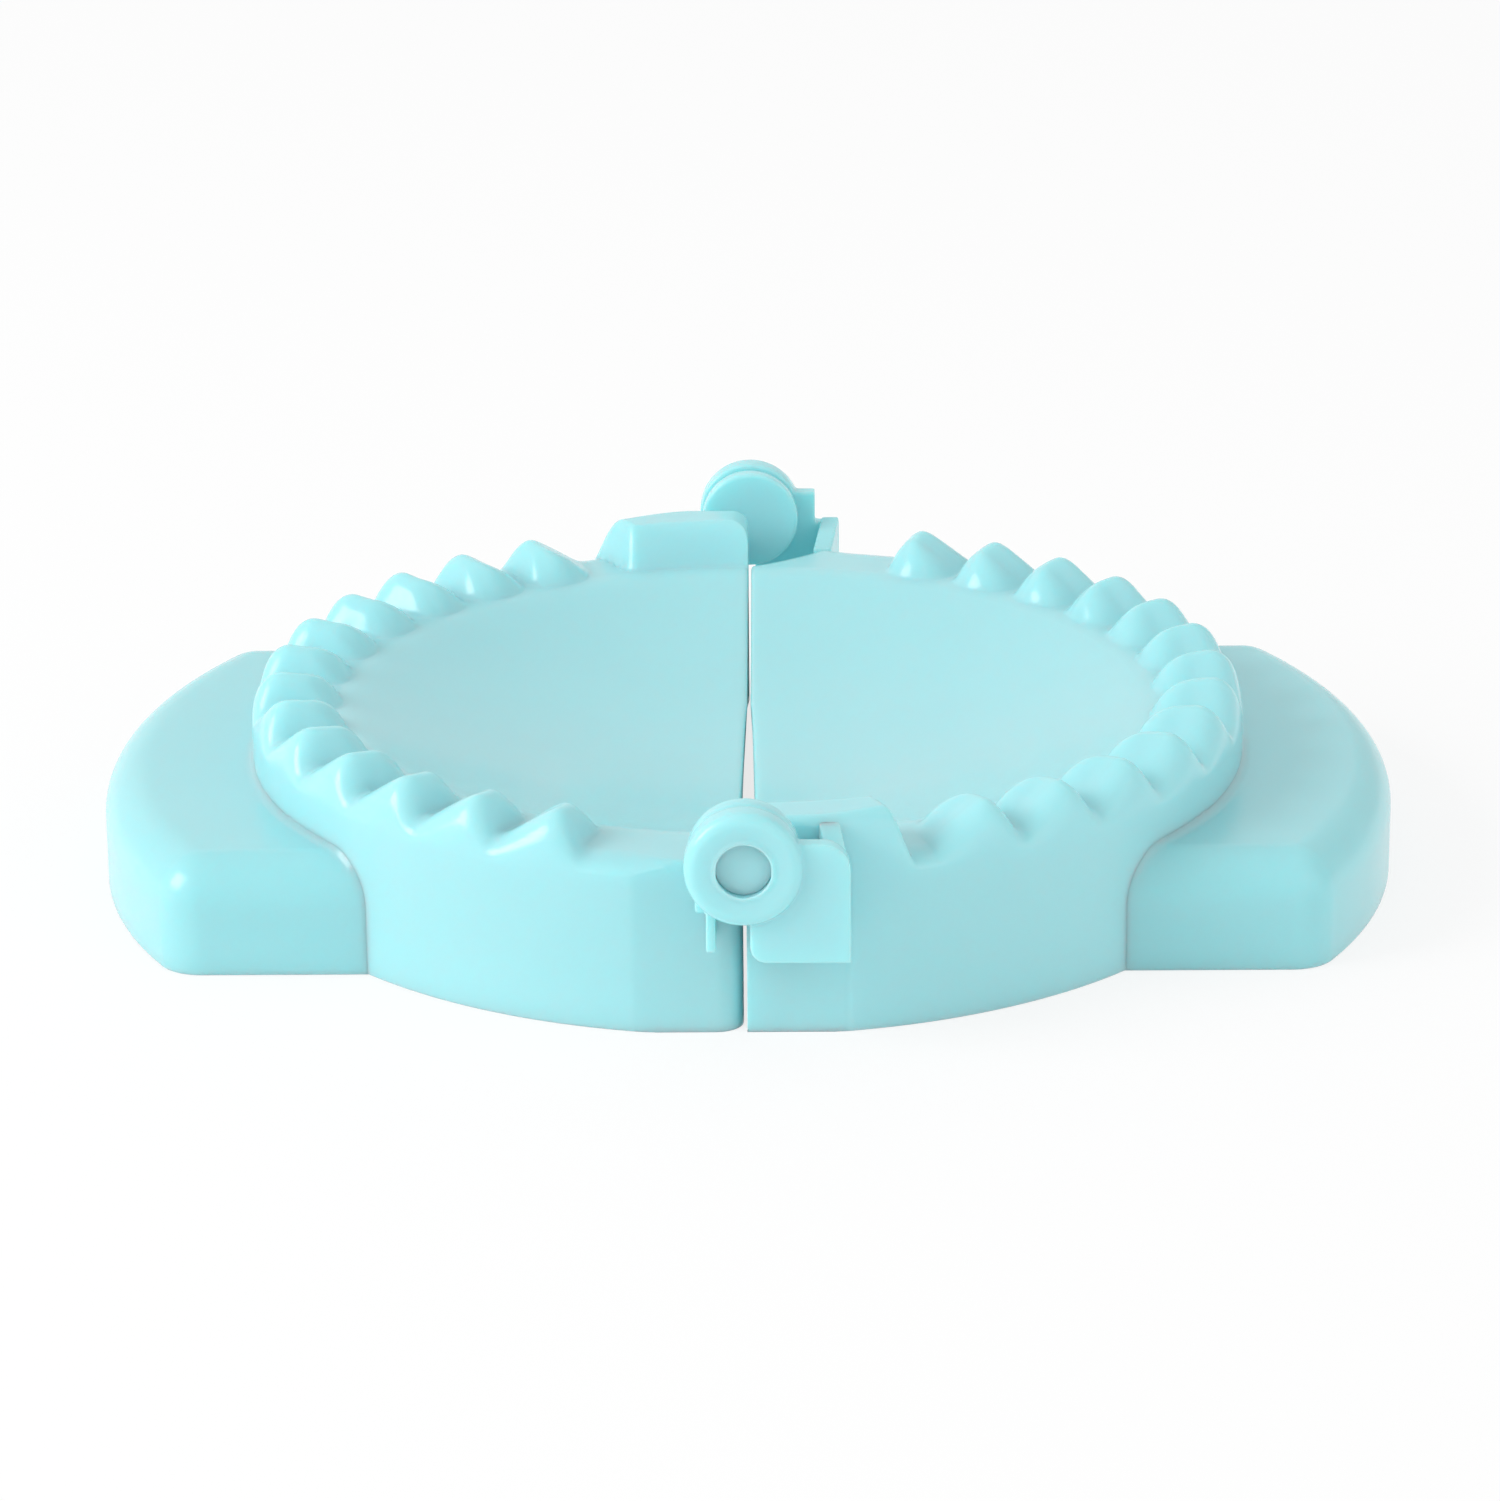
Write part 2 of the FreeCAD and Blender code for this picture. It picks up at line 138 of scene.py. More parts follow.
def make_piece(name: str, points: Array, faces: list[list[int]], sharp_deg: float) -> bpy.types.Object:
    """A closed mesh piece, smooth but for its sharp edges, with its faces pointing outwards.

    Args:
        name: the piece's name.
        points: points in millimetres in the row frame.
        faces: faces as lists of point numbers.
        sharp_deg: angle between faces from which an edge is sharp.

    Returns:
        The new object, at the origin.
    """
    mesh = bpy.data.meshes.new(name)
    mesh.from_pydata((points * MM).tolist(), [], faces)
    work = bmesh.new()
    work.from_mesh(mesh)
    bmesh.ops.recalc_face_normals(work, faces=work.faces)
    work.to_mesh(mesh)
    work.free()
    mesh.polygons.foreach_set("use_smooth", np.ones(len(mesh.polygons), bool))
    mesh.set_sharp_from_angle(angle=math.radians(sharp_deg))
    piece = bpy.data.objects.new(name, mesh)
    bpy.context.scene.collection.objects.link(piece)
    return piece


def settle(piece: bpy.types.Object, half: Half, nodes: tuple[str, ...], plastic: bpy.types.Material) -> None:
    """Gives a piece its plastic, puts it on its body and hides the CAD nodes that it stands for.

    Args:
        piece: the finished piece.
        half: the half that it rides on.
        nodes: names of the nodes that it replaces.
        plastic: its material.
    """
    piece.data.materials.append(plastic)
    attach(piece, half.value)
    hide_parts(*nodes)
    LOG.info("%s: %d faces", piece.name, len(piece.data.polygons))


def placed(points: Array, half: Half) -> Array:
    """The left half's points put on a half: for the right one they make half a turn, so X and Y change sign."""
    return points * np.array([-1.0, -1.0, 1.0]) if half is Half.RIGHT else points


def steps(count: int, last: float = 1.0) -> Array:
    """A column of even steps from 0 to the last value."""
    return np.linspace(0.0, last, count)[:, None]


class Value:
    """A shader socket that takes arithmetic, adding its Math nodes."""

    def __init__(self, tree: bpy.types.NodeTree, socket: Any) -> None:
        """Keeps the node tree and the socket."""
        self.tree = tree
        self.socket = socket

    def _math(self, operation: str, other: Any) -> "Value":
        """A Math node on this value and another value or number.

        Args:
            operation: the Math node's operation.
            other: the second value or number.

        Returns:
            The result.
        """
        node = self.tree.nodes.new("ShaderNodeMath")
        node.operation = operation
        self.tree.links.new(self.socket, node.inputs[0])
        if isinstance(other, Value):
            self.tree.links.new(other.socket, node.inputs[1])
        else:
            node.inputs[1].default_value = other
        return Value(self.tree, node.outputs[0])

    def __add__(self, other: Any) -> "Value":
        """The sum."""
        return self._math("ADD", other)

    def __sub__(self, other: Any) -> "Value":
        """The difference."""
        return self._math("SUBTRACT", other)

    def __mul__(self, other: Any) -> "Value":
        """The product."""
        return self._math("MULTIPLY", other)


class Shader:
    """The node tree of a material or world, with one way to add any node."""

    def __init__(self, owner: bpy.types.Material | bpy.types.World) -> None:
        """Empties the owner's node tree.

        Args:
            owner: the material or world.
        """
        owner.use_nodes = True
        self.tree = owner.node_tree
        self.tree.nodes.clear()

    def node(self, kind: str, inputs: dict[str | int, Any], settings: dict[str, Any] | None = None) -> Any:
        """Adds a node.

        Args:
            kind: the node's type.
            inputs: values or Values by socket name or number.
            settings: properties, set first.

        Returns:
            The new node.
        """
        made = self.tree.nodes.new(kind)
        for key, item in (settings or {}).items():
            setattr(made, key, item)
        for key, item in inputs.items():
            if isinstance(item, Value):
                self.tree.links.new(item.socket, made.inputs[key])
            else:
                made.inputs[key].default_value = item
        return made

    def value(self, node: Any, output: str | int) -> Value:
        """One of a node's outputs, ready for arithmetic."""
        return Value(self.tree, node.outputs[output])


def linear(colour: tuple[int, int, int]) -> tuple[float, float, float, float]:
    """A screen colour as scene-linear values with full alpha, by the sRGB curve.

    Args:
        colour: red, green and blue, 0 to 255.

    Returns:
        Red, green, blue and alpha, 0 to 1.
    """
    channels = np.array(colour) / 255.0
    low = channels / 12.92
    high = ((channels + 0.055) / 1.055) ** 2.4
    mixed = np.where(channels <= 0.04045, low, high)
    return (float(mixed[0]), float(mixed[1]), float(mixed[2]), 1.0)


@dataclass(frozen=True)
class AquaPlastic:
    """Pale aqua moulded plastic: satin gloss, a little light passing through, faint flow and grain."""

    name: str = "aqua_plastic"
    colour: tuple[int, int, int] = (166, 225, 231)
    flow_colour: tuple[int, int, int] = (171, 229, 234)
    roughness: float = 0.22
    roughness_spread: float = 0.05
    flow_scale: float = 34.0
    flow_detail: float = 3.0
    grain_scale: float = 2400.0
    grain_detail: float = 2.0
    grain_height: float = 0.0000016
    wave_scale: float = 130.0
    wave_detail: float = 1.0
    wave_height: float = 0.00003
    refraction: float = 1.49
    scatter: float = 0.8
    scatter_radius: tuple[float, float, float] = (0.25, 1.0, 0.95)
    scatter_depth: float = 0.003

    def material(self) -> bpy.types.Material:
        """Builds the material.

        Returns:
            The plastic, with colour, roughness and bump from its nodes.
        """
        plastic = bpy.data.materials.new(self.name)
        shader = Shader(plastic)
        place = shader.value(shader.node("ShaderNodeTexCoord", {}), "Object")
        flow = self._noise(shader, place, self.flow_scale, self.flow_detail)
        grain = self._noise(shader, place, self.grain_scale, self.grain_detail)
        wave = self._noise(shader, place, self.wave_scale, self.wave_detail)
        colours = {"Factor": flow, MIX_FIRST: linear(self.colour), MIX_SECOND: linear(self.flow_colour)}
        tint = shader.node("ShaderNodeMix", colours, {"data_type": "RGBA"})
        rough = (flow - 0.5) * self.roughness_spread + (grain - 0.5) * self.roughness_spread + self.roughness
        height = grain * self.grain_height + wave * self.wave_height
        bump = shader.node("ShaderNodeBump", {"Height": height, "Distance": 1.0, "Strength": 1.0})
        looks = {
            "Base Color": shader.value(tint, MIX_RESULT),
            "Roughness": rough,
            "Normal": shader.value(bump, "Normal"),
            "IOR": self.refraction,
            "Subsurface Weight": self.scatter,
            "Subsurface Radius": self.scatter_radius,
            "Subsurface Scale": self.scatter_depth,
        }
        surface = shader.value(shader.node("ShaderNodeBsdfPrincipled", looks), "BSDF")
        shader.node("ShaderNodeOutputMaterial", {"Surface": surface})
        return plastic

    def _noise(self, shader: Shader, place: Value, scale: float, detail: float) -> Value:
        """A noise of 0 to 1 on the piece's own coordinates."""
        node = shader.node("ShaderNodeTexNoise", {"Vector": place, "Scale": scale, "Detail": detail})
        return shader.value(node, "Fac")


@dataclass(frozen=True)
class StudioFloor:
    """Plain pale floor that keeps a soft shadow."""

    name: str = "studio_floor"
    colour: tuple[int, int, int] = (250, 250, 250)
    roughness: float = 0.9
    white_share: float = 0.8

    def material(self) -> bpy.types.Material:
        """Builds the floor's material, which is partly white of its own where the camera sees it.

        Returns:
            The floor's material.
        """
        material = bpy.data.materials.new(self.name)
        shader = Shader(material)
        looks = {"Base Color": linear(self.colour), "Roughness": self.roughness, "Specular IOR Level": 0.0}
        surface = shader.value(shader.node("ShaderNodeBsdfPrincipled", looks), "BSDF")
        glow = shader.value(shader.node("ShaderNodeEmission", {"Color": WHITE, "Strength": 1.0}), 0)
        path = shader.node("ShaderNodeLightPath", {})
        seen = shader.value(path, "Is Camera Ray") + shader.value(path, "Is Glossy Ray")
        mixed = shader.node("ShaderNodeMixShader", {0: seen * self.white_share, 1: surface, 2: glow})
        shader.node("ShaderNodeOutputMaterial", {"Surface": shader.value(mixed, 0)})
        return material


@dataclass
class HalfShell:
    """One half's moulded shell: bowl, land, closing pad, crimping teeth, round wall and underside, in one skin.

    Sizes are in millimetres. The left half is worked out, and the right half is the same form turned half a turn.
    Angles run round the upright line from the back over the left side to the front.
    """

    half: Half
    wall_radius: float = 50.0
    wall_thickness: float = 2.4
    skin: float = 2.0
    land_height: float = 17.0
    land_inner: float = 42.2
    land_bend: float = 1.5
    tooth_bend: float = 3.3
    dish_depth: float = 9.0
    rim_round: float = 8.0
    parting: float = 0.17
    slit_widening: float = 0.56
    slit_start: float = 18.0
    slit_end: float = -10.0
    slit_power: float = 0.6
    slit_depth: float = 8.0
    foot_slit: float = 0.55
    foot_slit_end: float = 44.0
    foot_slit_fade: float = 3.0
    parting_wall: float = 2.0
    parting_round: float = 0.45
    relief_face: float = 48.9
    relief_reach: dict[Half, float] = field(default_factory=lambda: {Half.LEFT: 7.2, Half.RIGHT: 9.6})
    relief_step: float = 0.3
    relief_beyond: float = 1.8
    relief_round: float = 0.9
    front_corner_round: float = 2.6
    notch_start: float = 41.8
    notch_reach: float = 10.6
    notch_drop: float = 6.5
    notch_power: float = 1.7
    notch_turn_power: float = 1.4
    pad_height: float = 21.45
    pad_foot: float = 42.1
    pad_slope: float = 1.7
    pad_end: float = 18.9
    pad_skew: float = 0.28
    pad_end_rate: float = 3.4
    pad_top_blend: float = 3.0
    pad_end_blend: float = 5.4
    pad_parting_round: float = 2.0
    tooth_count: int = 13
    tooth_pitch: float = 10.7
    tooth_steep: float = 3.2
    steep_width: float = 2.2
    steep_gap: float = 0.25
    slow_bulge: float = 0.12
    steep_bulge: float = 0.35
    nose_bulge: float = 0.9
    nose_steep_share: float = 0.6
    nose_blend: float = 0.5
    bulge_start: float = 45.6
    bulge_reach: float = 4.0
    crest_blend: float = 0.75
    tooth_shift: dict[Half, float] = field(default_factory=lambda: {Half.LEFT: 0.8, Half.RIGHT: -0.8})
    valley: float = 17.1
    crest: float = 21.2
    apex: float = 14.0
    tooth_outer: float = 48.8
    tip_radius: float = 40.6
    tip_round: float = 2.5
    tip_power: int = 3
    tip_lean: float = 1.06
    nose_length: float = 3.9
    nose_base: float = 14.6
    ground_blend: float = 0.8
    ring_start: float = 39.8
    ease_columns: int = 4
    ease_inside: float = 0.3
    ease_start: float = 45.5
    ease_reach: float = 3.5
    pad_ease_gap: float = 1.0
    pad_ease_span: float = 3.0
    teeth_ease: tuple[float, float] = (8.0, 12.0)
    teeth_ease_last: tuple[float, float] = (6.0, 8.0)
    foot_round: float = 0.4
    under_round: float = 0.8
    spread_share: float = 0.6
    near_columns: tuple[float, ...] = (0.0, 0.1, 0.22, 0.36, 0.55, 0.8, 1.15, 1.6)
    middle_start: float = 2.0
    column_step: float = 0.4
    near_rows: tuple[float, ...] = (0.0, 0.002, 0.005, 0.01, 0.02, 0.035, 0.06, 0.1)
    bowl_rows: tuple[float, float, int] = (0.15, 1.0, 20)
    ring_rows: int = 54
    level_row: int = 30
    edge_rows: int = 26
    wall_rows: int = 9
    foot_rows: int = 5
    under_rows: tuple[int, int, int, int] = (16, 7, 6, 5)
    sharp_deg: float = 50.0
    bowl_slope: float = field(init=False)
    bowl_radius: float = field(init=False)
    bowl_centre: float = field(init=False)
    teeth_start: float = field(init=False)

    def __post_init__(self) -> None:
        """Works out the bowl's sphere and where the teeth start."""
        self.bowl_slope = 2.0 * math.atan(self.dish_depth / self.land_inner)
        self.bowl_radius = self.land_inner / math.sin(self.bowl_slope) - self.rim_round
        self.bowl_centre = self.land_height - self.dish_depth + self.bowl_radius
        self.teeth_start = (HALF_TURN_DEG + self.tooth_steep - self.tooth_count * self.tooth_pitch) / 2.0

    def columns(self) -> Array:
        """Angles of the grid's columns in degrees, closer together beside the parting.

        Returns:
            Angles from 0 to 180 degrees.
        """
        near = np.array(self.near_columns)
        last = HALF_TURN_DEG - self.middle_start + self.column_step / 2.0
        middle = np.arange(self.middle_start, last, self.column_step)
        return np.concatenate([near, middle, HALF_TURN_DEG - near[::-1]])

    def bowl_height(self, radius: Array, depth: float) -> Array:
        """Height of the bowl, its rim and the land, or of a face a depth below along the normal.

        The bowl is a sphere's cap, the rim an arc that meets it and the flat land without a kink.

        Args:
            radius: distances from the upright line.
            depth: depth below the bowl's face.

        Returns:
            Heights.
        """
        join = self.bowl_radius * math.sin(self.bowl_slope)
        inner = self.bowl_radius + depth
        outer = self.rim_round - depth
        cap = self.bowl_centre - np.sqrt(np.maximum(inner**2 - radius**2, 0.0))
        reach = np.clip(self.land_inner - radius, 0.0, outer)
        rim = self.land_height - self.rim_round + np.sqrt(outer**2 - reach**2)
        split = join * inner / self.bowl_radius
        return np.where(radius < split, cap, rim)

    def climb(self, radius: Array, height: Array) -> Array:
        """Height on a line that runs out from the apex on the upright line, from its height at the outer radius."""
        return self.apex + (height - self.apex) * radius / self.tooth_outer

    def turns(self, angle: Array) -> Array:
        """Share of the tooth pitch at an angle: 0 at a tooth's valley, 1 at the next, over 1 past the last tooth."""
        turn = (angle - self.teeth_start) / self.tooth_pitch
        return np.where(turn >= self.tooth_count, turn - self.tooth_count + 1.0, turn - np.floor(turn))

    def saw(self, angle: Array, radius: Array) -> Array:
        """Share of the tooth height at an angle: a slow rise, a round crest and a steep round fall to a crease.

        The slow side is a line mixed with a parabola, the steep side a line mixed with a quarter ellipse, and the
        lower of the two counts. Both bulge more towards the bowl. The last tooth's steep side runs on to the land.

        Args:
            angle: angles of the columns in degrees.
            radius: distances from the upright line.

        Returns:
            Shares of the tooth height, 0 at the valley.
        """
        phase = self.turns(angle)
        nose = smooth_step((self.bulge_start - radius) / self.bulge_reach)
        extra = self.nose_bulge * nose
        slow = phase / (1.0 - self.tooth_steep / self.tooth_pitch)
        rise = slow + (self.slow_bulge + extra) * slow * (1.0 - slow)
        rest = (1.0 - phase) * self.tooth_pitch / self.steep_width - self.steep_gap
        bulge = np.sqrt(np.maximum(1.0 - (1.0 - np.clip(rest, 0.0, 1.0)) ** 2, 0.0))
        fall = rest + (self.steep_bulge + self.nose_steep_share * extra) * (bulge - np.minimum(rest, 1.0))
        return smooth_min(rise, fall, self.crest_blend + self.nose_blend * nose)

    def relief_height(self, radius: Array, angle: Array) -> Array:
        """Height of the pad and the teeth over a point, or far below where there is neither.

        A tooth is the saw line, climbing outwards, and its nose rises to it on a quarter ellipse from the tip. The
        tip's radius follows a rounded square in plan. The pad is a slope, a level top and a slanting end, blended.

        Args:
            radius: distances from the upright line.
            angle: angles of the columns in degrees.

        Returns:
            Heights.
        """
        top = self.climb(radius, self.valley + (self.crest - self.valley) * self.saw(angle, radius))
        across = np.clip(2.0 * self.turns(angle) - self.tip_lean, -1.0, 1.0)
        tip = self.tip_radius + self.tip_round * (1.0 - np.sqrt(1.0 - np.abs(across) ** self.tip_power))
        along = np.clip((radius - tip) / self.nose_length, 0.0, 1.0)
        teeth = self.nose_base + (top - self.nose_base) * np.sqrt(1.0 - (1.0 - along) ** 2)
        flank_rate = self.pad_end_rate * (self.crest - self.valley) / self.tooth_steep
        skewed = angle + self.pad_skew * (self.tooth_outer - radius)
        flank = self.land_height + (self.pad_end - skewed) * flank_rate
        slope = self.land_height + (radius - self.pad_foot) * (self.pad_height - self.land_height) / self.pad_slope
        level = smooth_min(slope, np.full_like(slope, self.pad_height), self.pad_top_blend)
        pad = smooth_min(level, flank, self.pad_end_blend)
        return np.where(angle < self.teeth_start, pad, np.maximum(teeth, pad))

    def place(self, radius: Array, angle_deg: Array, face: float) -> tuple[Array, Array]:
        """X and Y in a half disc: the face plus the rest of the radius times the sine, and radius times cosine."""
        angle = np.radians(angle_deg)
        return -(face + (radius - face) * np.sin(angle)), radius * np.cos(angle)

    def bowl_lines(self, share: Array, angle: Array, face: float) -> tuple[Array, Array]:
        """X and Y at shares of straight lines from a face beside the parting out to the ring's start."""
        rim_x, rim_y = self.place(np.full_like(share, self.ring_start), angle, face)
        return -face + (rim_x + face) * share, rim_y * (self.spread_share + (1.0 - self.spread_share) * share)

    def bowl_part(self, angle: Array) -> Rows:
        """Rows over the bowl: straight lines from the parting out to the ring's start, at the bowl's height.

        Args:
            angle: angles of the columns in degrees.

        Returns:
            X, Y and Z of the rows.
        """
        share = np.concatenate([np.array(self.near_rows), np.linspace(*self.bowl_rows)])[:, None]
        x, y = self.bowl_lines(share, angle, self.parting)
        return x, y, self.bowl_height(np.hypot(x, y), 0.0)

    def ring_part(self, angle: Array) -> tuple[Rows, Array]:
        """Rows over the ring, out to the bend and then on a quarter ellipse down to the wall's top edge.

        Args:
            angle: angles of the columns in degrees.

        Returns:
            X, Y and Z of the rows, and the greatest height of each column's outer part.
        """
        bend = self.land_bend + (self.tooth_bend - self.land_bend) * self.in_teeth(angle)
        share = steps(self.ring_rows)[1:]
        turn = steps(self.edge_rows, QUARTER_TURN)[1:]
        level_r = self.ring_start + (self.wall_radius - bend - self.ring_start) * share
        radius = np.concatenate([level_r, self.wall_radius - bend + bend * np.sin(turn)])
        x, y = self.place(radius, angle, self.parting)
        relief = self.relief_height(radius, angle - self.tooth_shift[self.half] * self.in_teeth(angle))
        height = smooth_max(self.bowl_height(np.hypot(x, y), 0.0), relief, self.ground_blend)
        top = np.max(height[self.level_row :, :], axis=0, keepdims=True)
        edge = self.land_height - self.land_bend
        fall = np.concatenate([np.ones_like(share), np.cos(turn)])
        return (x, y, edge + (self.ends_eased(height, radius, angle) - edge) * fall), top

    def outer_part(self, angle: Array) -> Rows:
        """Rows down the wall and round its foot.

        Args:
            angle: angles of the columns in degrees.

        Returns:
            X, Y and Z of the rows.
        """
        level = 0.0 * angle
        share = steps(self.wall_rows)[1:]
        edge = self.land_height - self.land_bend
        wall_z = edge + (self.foot_round - edge) * share + level
        foot = steps(self.foot_rows)[1:] * QUARTER_TURN
        foot_r = self.wall_radius - self.foot_round * (1.0 - np.cos(foot)) + level
        foot_z = self.foot_round * (1.0 - np.sin(foot)) + level
        radius = np.concatenate([np.full_like(wall_z, self.wall_radius), foot_r])
        x, y = self.place(radius, angle, self.parting)
        return x, y, np.concatenate([wall_z, foot_z])

    def top_grid(self) -> Array:
        """Points of the visible skin, row by row from the parting over the bowl, ring and wall to the foot.

        The relief faces, the notch and the rounds beside the parting then hold the points back.

        Returns:
            A grid of points.
        """
        angle = self.columns()[None, :]
        ring, top = self.ring_part(angle)
        parts = (self.bowl_part(angle), ring, self.outer_part(angle))
        x, y, z = (np.concatenate(rows) for rows in zip(*parts))
        y, depth = self.relieved(x, y)
        held = np.minimum(z, top - self.quarter_drop(depth, self.relief_round))
        z = np.where(depth < self.relief_round, held, z)
        if self.half is Half.RIGHT:
            z = np.minimum(z, self.notch(x, y, angle))
        behind = -x - self.parting
        z = np.minimum(z, self.pad_height - self.quarter_drop(behind, self.pad_parting_round))
        z = np.where(z > self.foot_round, z - self.quarter_drop(behind, self.parting_round), z)
        return np.stack([x - self.stand_back(x, y), self.corner_eased(x, y), z], axis=-1)

    def ends_eased(self, height: Array, radius: Array, angle: Array) -> Array:
        """Heights averaged with their neighbours round the ring, more towards the wall, so that the ends are soft.

        The pad's end stays as it is.

        Args:
            height: heights over the ring.
            radius: distances from the upright line.
            angle: angles of the columns in degrees.

        Returns:
            The softer heights.
        """
        reach = self.ease_columns
        wide = np.pad(height, ((0, 0), (reach, reach)), mode="edge")
        shares = 1.0 + np.cos(math.pi * np.arange(-reach, reach + 1) / (reach + 1))
        count = height.shape[1]
        mean = sum(share * wide[:, k : k + count] for k, share in enumerate(shares / shares.sum()))
        outwards = smooth_step((radius - self.ease_start) / self.ease_reach)
        amount = self.ease_inside + (1.0 - self.ease_inside) * outwards
        beyond_pad = smooth_step((angle - self.pad_end - self.pad_ease_gap) / self.pad_ease_span)
        return height + amount * beyond_pad * (mean - height)

    def corner_eased(self, x: Array, y: Array) -> Array:
        """Y with the upright corner between relief face and parting rounded, at the front of the left half."""
        room = self.relief_face - self.quarter_drop(-x - self.parting, self.front_corner_round)
        return np.maximum(y, -room) if self.half is Half.LEFT else y

    def in_teeth(self, angle: Array) -> Array:
        """1 over the teeth and 0 beside the parting, eased between."""
        (first, first_span), (last, last_span) = self.teeth_ease, self.teeth_ease_last
        return smooth_step((angle - first) / first_span) * smooth_step((HALF_TURN_DEG - last - angle) / last_span)

    def stand_back(self, x: Array, y: Array) -> Array:
        """How far the parting face stands back: a power of the share of the way to the front, fading away from it.

        Args:
            x: X of the points.
            y: Y of the points.

        Returns:
            Distances along X.
        """
        forward = y if self.half is Half.LEFT else -y
        share = np.clip((self.slit_start - forward) / (self.slit_start - self.slit_end), 0.0, 1.0) ** self.slit_power
        near = np.clip(1.0 + (x + self.parting) / self.slit_depth, 0.0, 1.0)
        return self.slit_widening * share * self.foot_slit_share(y) * near

    def foot_slit_share(self, y: Array) -> Array:
        """1 along the middle of the parting, fading to 0 before its ends."""
        return smooth_step((self.foot_slit_end + self.foot_slit_fade - np.abs(y)) / self.foot_slit_fade)

    def relieved(self, x: Array, y: Array) -> tuple[Array, Array]:
        """Y held inside the flat relief faces beside the parting, and each point's depth behind its face.

        Args:
            x: X of the points.
            y: Y of the points.

        Returns:
            The held Y and the depths.
        """
        away = smooth_step((-x - self.relief_reach[self.half]) / self.relief_step)
        room = self.relief_face + away * self.relief_beyond
        held = np.minimum(np.abs(y), room)
        depth = np.where(away > 0.5, self.wall_radius, room - held)
        return np.sign(y) * held, depth

    def notch(self, x: Array, y: Array, angle: Array) -> Array:
        """Height under which the land stays where it falls away to the hinge, at the end without a pad.

        Args:
            x: X of the points.
            y: Y of the points.
            angle: angles of the columns in degrees.

        Returns:
            Greatest heights.
        """
        across = np.clip(-x / self.notch_reach, 0.0, 1.0)
        start = self.notch_start + (self.wall_radius - self.notch_start) * across**self.notch_turn_power
        along = (np.abs(y) - start) / (self.relief_face - self.notch_start)
        height = self.land_height - self.notch_drop * np.clip(along, 0.0, 1.0) ** self.notch_power
        return np.where((angle > HALF_TURN_DEG / 2.0) & (along > 0.0), height, self.wall_radius)

    def quarter_drop(self, distance: Array, bend: float) -> Array:
        """How far the skin drops at a distance from a face, on a quarter round."""
        inside = np.clip(bend - distance, 0.0, bend)
        return bend - np.sqrt(bend**2 - inside**2)

    def under_grid(self) -> Array:
        """Points of the underside, row by row from the parting wall over the bowl's underside to the wall's foot.

        Returns:
            A grid of points.
        """
        angle = self.columns()[None, :]
        level = 0.0 * angle
        face = self.parting + self.parting_wall
        inner = self.wall_radius - self.wall_thickness
        bend = self.under_round
        ceiling_z = self.land_height - self.skin
        bowl_count, land_count, arc_count, wall_count = self.under_rows
        bowl_x, bowl_y = self.bowl_lines(steps(bowl_count), angle, face)
        land_r = np.linspace(self.ring_start, inner - bend, land_count)[1:, None] + level
        land_x, land_y = self.place(land_r, angle, face)
        x = np.concatenate([bowl_x, land_x])
        y = np.concatenate([bowl_y, land_y])
        ceiling = self.bowl_height(np.hypot(x, y), self.skin)
        arc = steps(arc_count)[1:] * QUARTER_TURN
        arc_r = inner - bend + bend * np.sin(arc) + level
        arc_z = ceiling_z - bend + bend * np.cos(arc) + level
        wall_z = np.linspace(ceiling_z - bend, 0.0, wall_count)[1:, None] + level
        outer_x, outer_y = self.place(np.concatenate([arc_r, np.full_like(wall_z, inner)]), angle, face)
        columns = (np.concatenate([x, outer_x]), np.concatenate([y, outer_y]))
        return np.stack([*columns, np.concatenate([ceiling, arc_z, wall_z])], axis=-1)

    def parting_path(self, grid: Array) -> Array:
        """The edge of a grid along the parting, from the back foot over the bowl to the front foot."""
        return np.concatenate([grid[::-1, 0], grid[0, 1:], grid[1:, -1]])

    def points_and_faces(self) -> Mesh:
        """The shell as one closed skin, as the left half: top, underside, two parting faces and the foot.

        Returns:
            The points and faces.
        """
        top = self.top_grid()
        under = self.under_grid()
        floor = np.array([1.0, 1.0, 0.0])
        outside = self.parting_path(top)
        inside = self.parting_path(under)
        foot_line = outside * floor
        foot_line[:, 0] = -self.parting - self.foot_slit * self.foot_slit_share(outside[:, 1])
        outside_faces = np.stack([outside, foot_line])
        straight = self.resampled(inside, len(outside)) * floor
        inside_faces = np.stack([self.resampled(inside, len(outside)), straight])
        outer_loop = np.concatenate([top[-1], foot_line[::-1]])
        inner_loop = np.concatenate([under[-1], straight[::-1]])
        foot = np.stack([outer_loop, inner_loop])
        blocks = [top, under, outside_faces, inside_faces, foot]
        sizes = [block.shape[0] * block.shape[1] for block in blocks]
        starts = np.cumsum([0] + sizes[:-1]).tolist()
        points = np.concatenate([block.reshape(-1, 3) for block in blocks])
        faces = [grid_faces(block.shape[0], block.shape[1], start) for block, start in zip(blocks, starts)]
        return welded(points, np.concatenate(faces))

    def resampled(self, line: Array, count: int) -> Array:
        """A line of points with another number of points, spread by their order.

        Args:
            line: the line's points.
            count: number of points wanted.

        Returns:
            The new points.
        """
        old = np.linspace(0.0, 1.0, len(line))
        new = np.linspace(0.0, 1.0, count)
        return np.stack([np.interp(new, old, line[:, axis]) for axis in range(3)], axis=1)

    def build(self) -> bpy.types.Object:
        """Builds the half's shell as one piece."""
        points, faces = self.points_and_faces()
        return make_piece(self.half.prefix + "_moulded_shell", placed(points, self.half), faces, self.sharp_deg)

    def dress(self, plastic: bpy.types.Material) -> None:
        """Builds the half's shell and settles it on its body."""
        forms = ("dish", "skirt", "parting_wall", "closing_pad", "crimp_teeth")
        settle(self.build(), self.half, tuple(self.half.prefix + "_" + form for form in forms), plastic)


